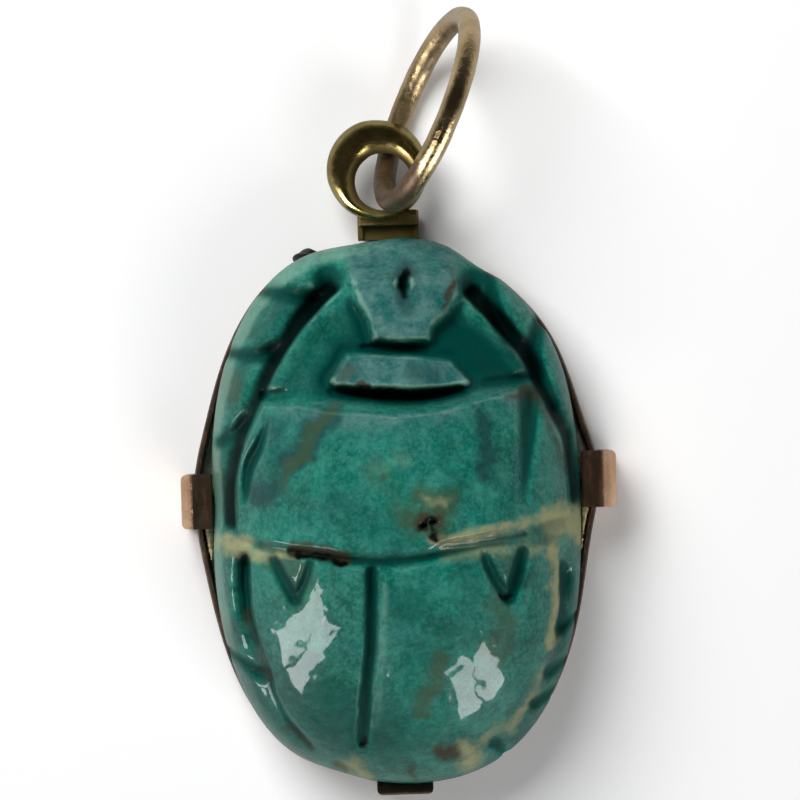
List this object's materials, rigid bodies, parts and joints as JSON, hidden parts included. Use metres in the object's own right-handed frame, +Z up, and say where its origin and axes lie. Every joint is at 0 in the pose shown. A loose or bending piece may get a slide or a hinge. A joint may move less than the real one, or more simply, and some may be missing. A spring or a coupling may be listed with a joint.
{
  "type": "scarab amulet in a claw mount",
  "caption": "Small carved and glazed stone scarab with a flat base, held by a gold claw collar, with a loop bail and a loose jump ring so that it hangs as a pendant",
  "frame": {"origin": "centre of the scarab's flat base, on the surface that it lies on", "axes": "+Z up out of the scarab's back, +Y towards the beetle's head and the bail, +X to the beetle's right as seen from above"},
  "size_m": [0.0144, 0.026, 0.0074],
  "materials": {
    "glazed_stone": "worn turquoise green glaze with brown stains and pale rubbed edges",
    "rose_gold": "polished rose gold with dark tarnish in the corners",
    "yellow_gold": "satin yellow gold with an olive tarnish",
    "ring_gold": "polished pale gold wire with fine scratches",
    "cement": "matt grainy cream"
  },
  "bodies": {
    "root": {"scarab": "glazed_stone", "mount": "rose_gold", "bail": "yellow_gold", "jump_ring": "ring_gold", "cement_left": "cement", "cement_right": "cement"}
  },
  "joints": []
}
